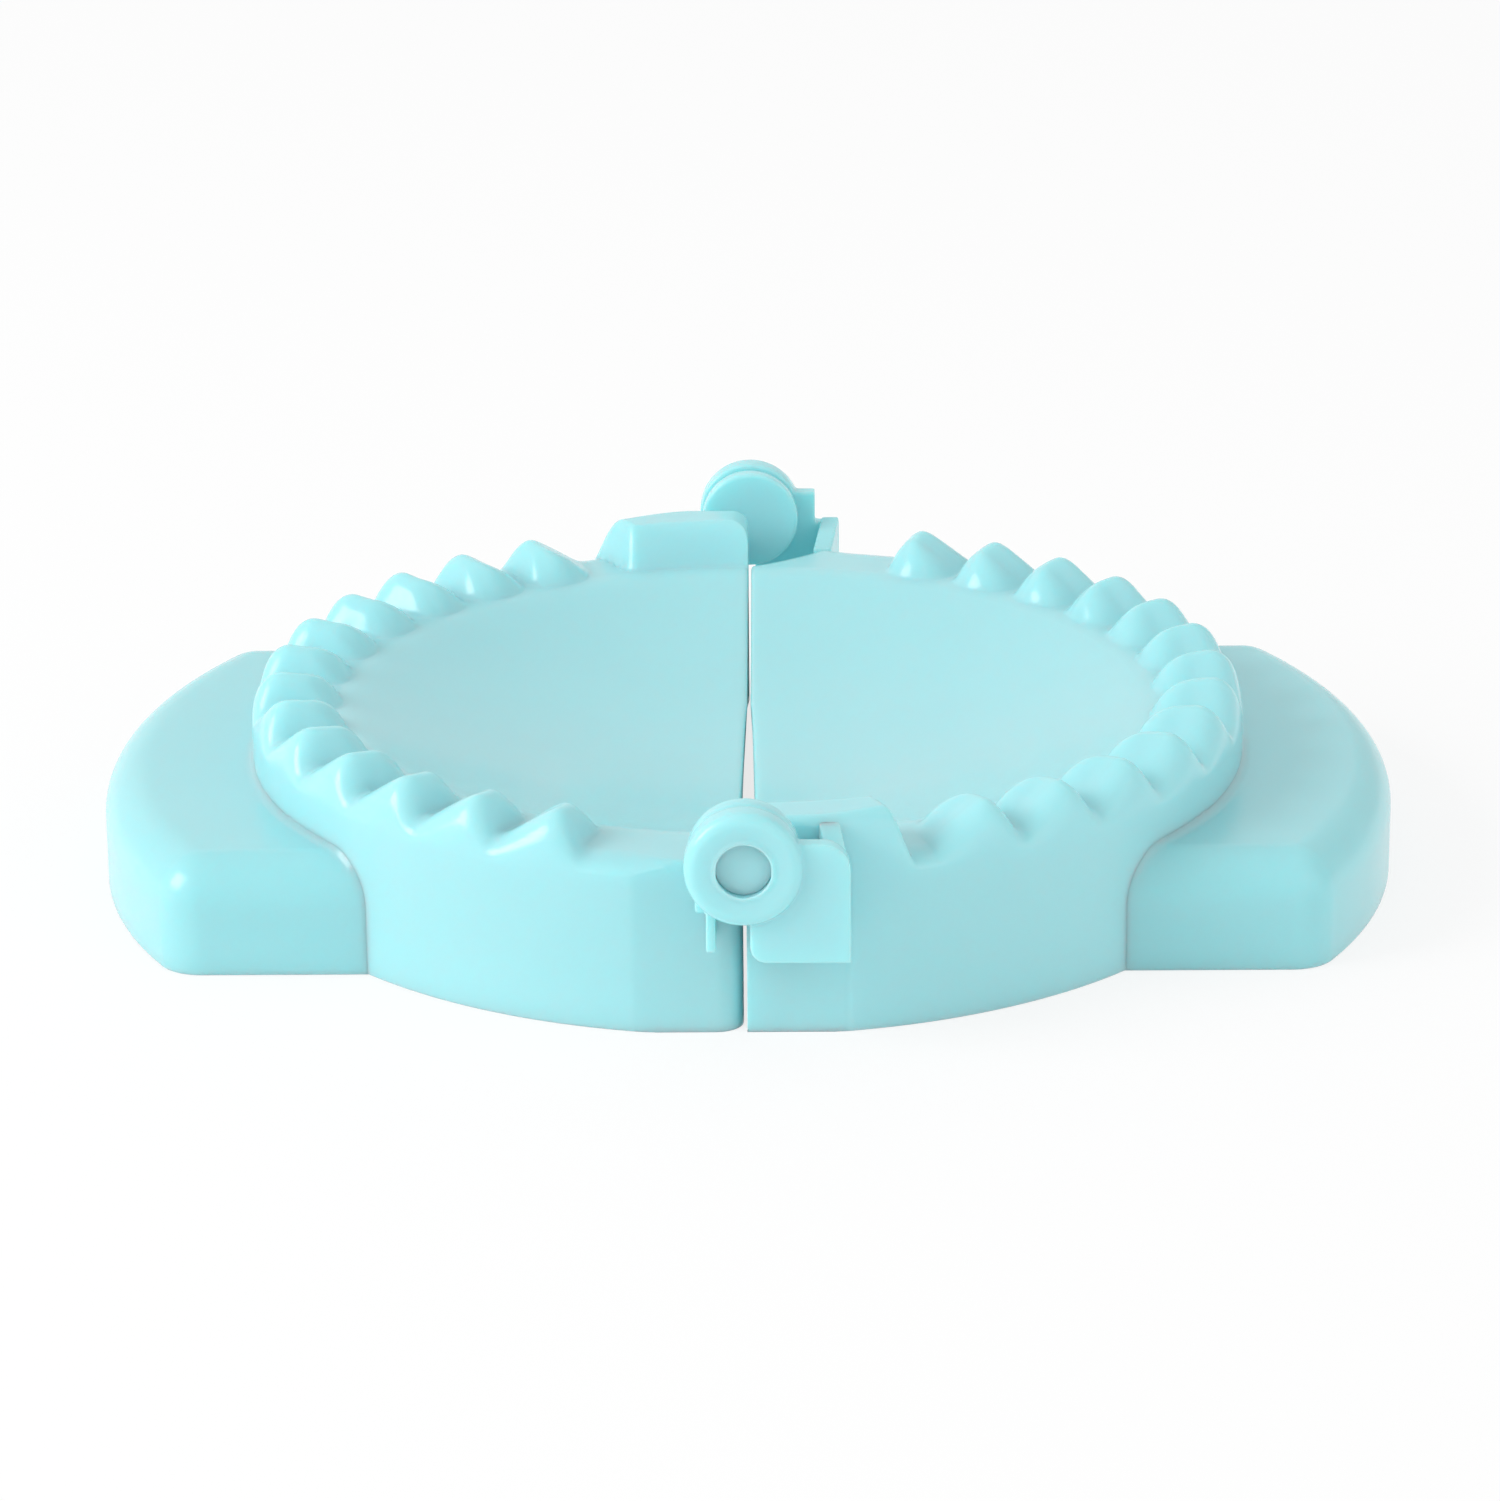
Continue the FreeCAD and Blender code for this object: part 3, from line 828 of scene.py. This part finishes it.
@dataclass
class Handle:
    """A half's flat handle: a slice of a disc round the press, hollow below, with a round top edge and corners."""

    half: Half
    radius: float = 65.0
    half_width: float = 34.2
    height: float = 11.5
    corner: float = 4.8
    top_round: float = 4.4
    skin: float = 2.0
    root_radius: float = 49.0
    wall_radius: float = 50.0
    fillet: float = 0.8
    foot_round: float = 0.4
    side_points: int = 34
    side_power: float = 1.3
    corner_points: int = 22
    arc_points: int = 46
    foot_rows: int = 4
    side_rows: int = 5
    edge_rows: int = 15
    roof_rows: int = 30
    sharp_deg: float = 38.0

    def outline(self, inset: Array) -> tuple[Array, Array]:
        """X and Y along the free edge from the wall's back to its front, at insets from it, one a row.

        A straight side, a corner arc, the large arc, a corner arc and a straight side follow one another.

        Args:
            inset: distances in from the edge, one a row.

        Returns:
            X and Y, a row for each inset.
        """
        centre_y = self.half_width - self.corner
        centre_x = math.sqrt((self.radius - self.corner) ** 2 - centre_y**2)
        soft = self.corner - inset
        side_y = self.half_width - inset
        start_x = np.sqrt(self.root_radius**2 - side_y**2)
        share = np.linspace(0.0, 1.0, self.side_points)[None, :] ** self.side_power
        side_x = start_x + (centre_x - start_x) * share
        corner_turn = math.atan2(centre_x, centre_y)
        turn = np.linspace(0.0, corner_turn, self.corner_points)[None, 1:]
        corner_x = centre_x + soft * np.sin(turn)
        corner_y = centre_y + soft * np.cos(turn)
        sweep = np.linspace(corner_turn, QUARTER_TURN, self.arc_points)[None, 1:]
        arc_x = (self.radius - inset) * np.sin(sweep)
        arc_y = (self.radius - inset) * np.cos(sweep)
        x = np.concatenate([side_x, corner_x, arc_x], axis=1)
        y = np.concatenate([side_y + 0.0 * side_x, corner_y, arc_y], axis=1)
        return np.concatenate([-x, -x[:, -2::-1]], axis=1), np.concatenate([y, -y[:, -2::-1]], axis=1)

    def skin_rows(self, inset: float, top: float, bend: float) -> tuple[Array, Array]:
        """Insets and heights up the side and, on a quarter round, over the top edge.

        Args:
            inset: distance in from the edge.
            top: height of the top.
            bend: radius of the top edge.

        Returns:
            The insets and the heights, one a row.
        """
        turn = np.linspace(0.0, QUARTER_TURN, self.edge_rows)
        side = np.linspace(self.foot_round, top - bend, self.side_rows + 1)[:-1]
        insets = np.concatenate([np.full(self.side_rows, inset), inset + bend * (1.0 - np.cos(turn))])
        return insets, np.concatenate([side, top - bend + bend * np.sin(turn)])

    def flare(self, x: Array, y: Array) -> Array:
        """How far the skin stands out beside the wall, on a quarter round that meets the wall."""
        near = np.clip(self.fillet + self.wall_radius - np.hypot(x, y), 0.0, self.fillet)
        return self.fillet - np.sqrt(self.fillet**2 - near**2)

    def roofed(self, x: Array, y: Array, z: Array, fillet: float) -> Array:
        """The rows, with flat rows added from the last one in to the wall, where a share of the fillet lifts them.

        Args:
            x: X of the rows.
            y: Y of the rows.
            z: heights of the rows.
            fillet: share of the fillet.

        Returns:
            A grid of points.
        """
        root_y = y[-1]
        start = math.atan2(root_y[0], -x[-1][0])
        turn = np.linspace(start, -start, x.shape[1])
        share = steps(self.roof_rows)[1:]
        wall_x = -self.root_radius * np.cos(turn)
        wall_y = self.root_radius * np.sin(turn)
        roof_x = x[-1] + (wall_x - x[-1]) * share
        roof_y = y[-1] + (wall_y - y[-1]) * share
        roof_z = z[-1, x.shape[1] // 2] + fillet * self.flare(roof_x, roof_y)
        rows = (np.concatenate([x, roof_x]), np.concatenate([y, roof_y]), np.concatenate([z, roof_z]))
        return np.stack(rows, axis=-1)

    def build(self) -> bpy.types.Object:
        """Builds the half's handle: an outer and an inner skin, joined at the foot and closed inside the wall.

        Returns:
            The handle as one closed skin.
        """
        foot = np.linspace(0.0, QUARTER_TURN, self.foot_rows)
        insets, heights = self.skin_rows(0.0, self.height, self.top_round)
        insets = np.concatenate([self.foot_round * (1.0 - np.sin(foot)), insets])[:, None]
        heights = np.concatenate([self.foot_round * (1.0 - np.cos(foot)), heights])
        x, y = self.outline(insets)
        edge = np.sin(np.linspace(0.0, QUARTER_TURN, self.edge_rows))
        upward = np.concatenate([np.zeros(self.foot_rows + self.side_rows), edge])[:, None]
        outer = self.roofed(x, y, heights[:, None] + upward * self.flare(x, y), 1.0)
        insets, heights = self.skin_rows(self.skin, self.height - self.skin, self.top_round - self.skin)
        heights = np.concatenate([[0.0], heights])
        x, y = self.outline(np.concatenate([[self.skin], insets])[:, None])
        inner = self.roofed(x, y, heights[:, None] + 0.0 * x, 0.0)
        loop = np.concatenate([outer, inner[::-1], outer[:1]])
        points, faces = welded(loop.reshape(-1, 3), grid_faces(loop.shape[0], loop.shape[1]))
        piece = make_piece(self.half.prefix + "_handle_shell", placed(points, self.half), faces, self.sharp_deg)
        work = bmesh.new()
        work.from_mesh(piece.data)
        rims = [edge for edge in work.edges if edge.is_boundary]
        bmesh.ops.holes_fill(work, edges=rims, sides=0)
        bmesh.ops.recalc_face_normals(work, faces=work.faces)
        work.to_mesh(piece.data)
        work.free()
        return piece

    def dress(self, plastic: bpy.types.Material) -> None:
        """Builds the half's handle and settles it on its body."""
        settle(self.build(), self.half, (self.half.prefix + "_handle",), plastic)


@dataclass(frozen=True)
class Block:
    """A rectangle in X and Z, in millimetres."""

    left: float
    right: float
    bottom: float
    top: float

    def ring(self) -> Array:
        """The corners in X and Z."""
        corners = ((self.left, self.bottom), (self.right, self.bottom), (self.right, self.top), (self.left, self.top))
        return np.array(corners)


@dataclass
class Hinge:
    """One end of the hinge line: the left half's hub on its neck and rib with the pin, and the right half's ear.

    The ear is an eye, a stepped plate and a web to the wall, moulded in one with soft inner corners.
    """

    end: End
    axis_height: float = 19.25
    outer: float = 57.5
    wall_face: float = 48.5
    eye_radius: float = 5.5
    eye_thickness: float = 2.9
    eye_round: float = 1.0
    bore_radius: float = 2.5
    pin_radius: float = 2.62
    pin_recess: float = 1.1
    side_gap: float = 0.3
    hub_radius: float = 5.25
    hub_thickness: float = 2.6
    hub_round: float = 1.2
    small_round: float = 0.3
    pin_round: float = 0.1
    pin_depth: float = 0.6
    neck: Block = Block(-4.6, -0.35, 13.2, 17.2)
    neck_overlap: float = 0.5
    rib: Block = Block(-3.55, -2.65, 10.0, 16.6)
    rib_setback: float = 0.2
    plate_left: float = 0.55
    plate_right: float = 9.8
    plate_bottom: float = 9.9
    plate_corner: float = 1.5
    plate_face: float = 56.5
    plate_overlap: float = 0.05
    shoulder_centre: tuple[float, float] = (7.2, 18.9)
    shoulder_round: float = 2.6
    back_steps: tuple[tuple[float, float], ...] = ((9.8, 18.0), (7.15, 18.0), (7.15, 21.5))
    inner_steps: tuple[tuple[float, float], ...] = ((4.9, 21.5), (4.9, 16.6), (0.55, 14.8))
    web_at_wall: dict[End, Block] = field(
        default_factory=lambda: {End.FRONT: Block(6.9, 8.9, 9.9, 20.9), End.BACK: Block(6.9, 8.9, 9.9, 16.9)}
    )
    web_at_plate: Block = Block(7.9, 9.8, 9.9, 18.6)
    web_overlap: float = 0.6
    segments: int = 96
    round_points: int = 9
    voxel: float = 0.14
    easing: float = 0.5
    smoothing: int = 9
    sharp_deg: float = 40.0

    def rounded_section(self, inner: float, radius: float, near: float, far: float, bend: float) -> Array:
        """A ring's or disc's section as radius and distance along the hinge line, its outer corner at far rounded.

        Args:
            inner: inner radius, or 0 for a disc.
            radius: outer radius.
            near: distance of the near face.
            far: distance of the far face.
            bend: radius of the outer corner at far.

        Returns:
            The section's points.
        """
        turn = np.linspace(0.0, QUARTER_TURN, self.round_points)
        small = self.small_round
        low = [[inner, near], [radius - small, near]]
        back = np.stack([radius - small + small * np.sin(turn), near + small * (1.0 - np.cos(turn))], axis=1)
        front = np.stack([radius - bend + bend * np.cos(turn), far - bend + bend * np.sin(turn)], axis=1)
        lip = np.stack([inner + small * (1.0 - np.sin(turn)), far - small * (1.0 - np.cos(turn))], axis=1)
        return np.concatenate([np.array(low), back[1:], front, lip[::-1] if inner > 0.0 else [[0.0, far]]])

    def turned(self, section: Array) -> Mesh:
        """A section turned round the hinge line: X is the radius times the cosine, Z the radius times the sine.

        Args:
            section: radius and distance along the hinge line.

        Returns:
            The points and faces.
        """
        turn = np.linspace(0.0, 2.0 * math.pi, self.segments + 1)[None, :]
        closed = np.concatenate([section, section[:1]]) if section[0, 0] > 0.0 else section
        radius = closed[:, :1]
        x = radius * np.cos(turn)
        z = self.axis_height + radius * np.sin(turn)
        y = self.end.value * (closed[:, 1:] + 0.0 * turn)
        grid = np.stack([x, y, z], axis=-1)
        return welded(grid.reshape(-1, 3), grid_faces(grid.shape[0], grid.shape[1]))

    def prism(self, near_ring: Array, far_ring: Array, span: tuple[float, float]) -> Mesh:
        """A block between two outlines in X and Z with as many corners, at two distances along the hinge line.

        Args:
            near_ring: outline at the first distance.
            far_ring: outline at the second distance.
            span: the two distances.

        Returns:
            The points and faces.
        """
        count = len(near_ring)
        rows = [
            np.stack([ring[:, 0], np.full(count, self.end.value * y), ring[:, 1]], axis=1)
            for ring, y in zip((near_ring, far_ring), span)
        ]
        following = (np.arange(count) + 1) % count
        sides = np.stack([np.arange(count), following, following + count, np.arange(count) + count], axis=1)
        faces = sides.tolist() + [list(range(count)), list(range(2 * count - 1, count - 1, -1))]
        return np.concatenate(rows), faces

    def moulded(self, name: str, forms: list[Mesh]) -> bpy.types.Object:
        """Closed forms made one skin on a fine lattice, then eased, so that they meet in soft corners.

        Args:
            name: the piece's name.
            forms: points and faces of each form.

        Returns:
            The piece, with no modifier left on it.
        """
        points = np.concatenate([form[0] for form in forms])
        starts = np.cumsum([0] + [len(form[0]) for form in forms[:-1]]).tolist()
        faces = [[corner + start for corner in face] for (_, rows), start in zip(forms, starts) for face in rows]
        rough = make_piece(name + "_rough", points, faces, self.sharp_deg)
        lattice = rough.modifiers.new("one_skin", "REMESH")
        lattice.mode = "VOXEL"
        lattice.voxel_size = self.voxel * MM
        easing = rough.modifiers.new("soft_corners", "SMOOTH")
        easing.factor = self.easing
        easing.iterations = self.smoothing
        bpy.context.view_layer.update()
        graph = bpy.context.evaluated_depsgraph_get()
        mesh = bpy.data.meshes.new_from_object(rough.evaluated_get(graph))
        bpy.data.objects.remove(rough)
        mesh.polygons.foreach_set("use_smooth", np.ones(len(mesh.polygons), bool))
        piece = bpy.data.objects.new(name, mesh)
        bpy.context.scene.collection.objects.link(piece)
        return piece

    def rounded_corner(self, centre: tuple[float, float], radius: float, start_deg: float) -> Array:
        """Outline points of a quarter round about a centre, anticlockwise from a starting angle."""
        turn = math.radians(start_deg) + np.linspace(0.0, QUARTER_TURN, self.round_points)
        return np.stack([centre[0] + radius * np.cos(turn), centre[1] + radius * np.sin(turn)], axis=1)

    def hub(self) -> bpy.types.Object:
        """The left half's hub disc with its neck and rib.

        Returns:
            The piece.
        """
        far = self.outer - self.eye_thickness - self.side_gap
        near = far - self.hub_thickness
        disc = self.turned(self.rounded_section(0.0, self.hub_radius, near, far, self.hub_round))
        neck = self.prism(self.neck.ring(), self.neck.ring(), (self.wall_face, near + self.neck_overlap))
        rib = self.prism(self.rib.ring(), self.rib.ring(), (self.wall_face, far - self.rib_setback))
        return self.moulded(self.end.prefix + "_hub", [disc, neck, rib])

    def pin(self) -> bpy.types.Object:
        """The pin, from inside the hub to just short of the eye's face.

        Returns:
            The piece.
        """
        near = self.outer - self.eye_thickness - self.side_gap - self.pin_depth
        section = self.rounded_section(0.0, self.pin_radius, near, self.outer - self.pin_recess, self.pin_round)
        points, faces = self.turned(section)
        return make_piece(self.end.prefix + "_pin", points, faces, self.sharp_deg)

    def plate_outline(self) -> Array:
        """Outline of the ear's plate in X and Z: a round lower corner, and a round shoulder or a step above.

        Returns:
            The outline's points.
        """
        bend = self.plate_corner
        corner_at = (self.plate_left + bend, self.plate_bottom + bend)
        corner = self.rounded_corner(corner_at, bend, HALF_TURN_DEG)
        foot = np.array([(self.plate_right, self.plate_bottom)])
        if self.end is End.FRONT:
            shoulder = self.rounded_corner(self.shoulder_centre, self.shoulder_round, 0.0)
        else:
            shoulder = np.array(self.back_steps)
        return np.concatenate([corner, foot, shoulder, np.array(self.inner_steps)])

    def ear(self) -> bpy.types.Object:
        """The right half's eye with its plate and web.

        Returns:
            The piece.
        """
        inner = self.outer - self.eye_thickness
        section = self.rounded_section(self.bore_radius, self.eye_radius, inner, self.outer, self.eye_round)
        plate = self.plate_outline()
        at_wall = self.web_at_wall[self.end].ring()
        forms = [
            self.turned(section),
            self.prism(plate, plate, (inner + self.plate_overlap, self.plate_face)),
            self.prism(at_wall, self.web_at_plate.ring(), (self.wall_face, inner + self.web_overlap)),
        ]
        return self.moulded(self.end.prefix + "_ear", forms)

    def dress(self, plastic: bpy.types.Material) -> None:
        """Builds one end of the hinge and settles its pieces on their bodies.

        Args:
            plastic: the pieces' material.
        """
        settle(self.hub(), Half.LEFT, (self.end.prefix + "_hinge_hub",), plastic)
        settle(self.pin(), Half.LEFT, (self.end.prefix + "_pivot_pin",), plastic)
        settle(self.ear(), Half.RIGHT, (self.end.prefix + "_hinge_ear",), plastic)


@dataclass(frozen=True)
class SoftLight:
    """A square soft light: place and side in metres, power in watts."""

    name: str
    place: tuple[float, float, float]
    size: float
    power: float

    def add(self, target: tuple[float, float, float]) -> None:
        """Puts the light into the scene, turned to the target.

        Args:
            target: the point that it looks at.
        """
        data = bpy.data.lights.new(self.name, "AREA")
        data.size = self.size
        data.energy = self.power
        light = bpy.data.objects.new(self.name, data)
        light.location = self.place
        direction = Vector(target) - Vector(self.place)
        light.rotation_euler = direction.to_track_quat("-Z", "Y").to_euler()
        bpy.context.scene.collection.objects.link(light)


@dataclass
class Studio:
    """Floor, soft lights, white background and the camera at the photograph's angle."""

    floor_size: float = 6.0
    camera_elevation_deg: float = 19.5
    camera_distance: float = 0.5556
    camera_target: tuple[float, float, float] = (0.00022, 0.0, 0.0107)
    camera_roll_deg: float = -0.47
    camera_yaw_deg: float = -0.47
    focal_length: float = 131.2
    sensor: float = 36.0
    sky_strength: float = 0.68
    lights: tuple[SoftLight, ...] = (
        SoftLight("key_left", (-0.82, -0.3, 0.5), 0.5, 5.6),
        SoftLight("fill_right", (0.75, -0.6, 0.35), 0.9, 1.9),
        SoftLight("sheen_back", (-0.18, 0.96, 0.3), 1.0, 0.6),
    )

    def add_floor(self) -> None:
        """A large plane on which the press rests."""
        side = self.floor_size / 2.0
        mesh = bpy.data.meshes.new("floor")
        corners = [(-side, -side, 0.0), (side, -side, 0.0), (side, side, 0.0), (-side, side, 0.0)]
        mesh.from_pydata(corners, [], [(0, 1, 2, 3)])
        floor = bpy.data.objects.new("floor", mesh)
        bpy.context.scene.collection.objects.link(floor)
        mesh.materials.append(StudioFloor().material())

    def add_sky(self) -> None:
        """A world that lights softly and shows pure white to the camera."""
        world = bpy.data.worlds.new("white_room")
        bpy.context.scene.world = world
        shader = Shader(world)
        seen = shader.value(shader.node("ShaderNodeLightPath", {}), "Is Camera Ray")
        soft = shader.value(shader.node("ShaderNodeBackground", {"Color": WHITE, "Strength": self.sky_strength}), 0)
        white = shader.value(shader.node("ShaderNodeBackground", {"Color": WHITE}), 0)
        mixed = shader.value(shader.node("ShaderNodeMixShader", {0: seen, 1: soft, 2: white}), 0)
        shader.node("ShaderNodeOutputWorld", {"Surface": mixed})

    def add_camera(self) -> None:
        """The camera at the photograph's place, with its small roll and yaw."""
        data = bpy.data.cameras.new("camera")
        data.sensor_width = self.sensor
        data.lens = self.focal_length
        camera = bpy.data.objects.new("camera", data)
        elevation = math.radians(self.camera_elevation_deg)
        yaw = math.radians(self.camera_yaw_deg)
        roll = math.radians(self.camera_roll_deg)
        ahead = np.array([math.sin(yaw), math.cos(yaw), 0.0])
        forward = math.cos(elevation) * ahead - math.sin(elevation) * np.array([0.0, 0.0, 1.0])
        level = np.array([math.cos(yaw), -math.sin(yaw), 0.0])
        upright = np.cross(level, forward)
        right = math.cos(roll) * level + math.sin(roll) * upright
        above = -math.sin(roll) * level + math.cos(roll) * upright
        place = np.array(self.camera_target) - forward * self.camera_distance
        rows = np.eye(4)
        rows[:, :3] = np.stack([right, above, -forward, place])
        camera.matrix_world = rows.tolist()
        bpy.context.scene.collection.objects.link(camera)
        bpy.context.scene.camera = camera

    def build(self) -> None:
        """Builds the floor, the lights, the background and the camera."""
        self.add_floor()
        self.add_sky()
        for light in self.lights:
            light.add(self.camera_target)
        self.add_camera()
        bpy.context.scene.view_settings.view_transform = "Standard"


def write_sizes() -> None:
    """Updates the view layer."""
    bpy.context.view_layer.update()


def main() -> None:
    """Builds and dresses the press, then the studio."""
    logging.basicConfig(level=logging.INFO, format="%(message)s")
    plastic = AquaPlastic().material()
    # A darker copy of the plastic for the handles: painted shade that tones down their tops, which come out too
    # bright from the back light's reflection.
    handle_shade_plastic = AquaPlastic("aqua_plastic_handle_shade", colour=(158, 221, 227), flow_colour=(163, 225, 230)).material()
    for half in Half:
        HalfShell(half).dress(plastic)
        # The handles take the copy of the plastic with painted shade.
        Handle(half).dress(handle_shade_plastic)
    for end in End:
        Hinge(end).dress(plastic)
    Studio().build()
    write_sizes()


if __name__ == "__main__":
    main()
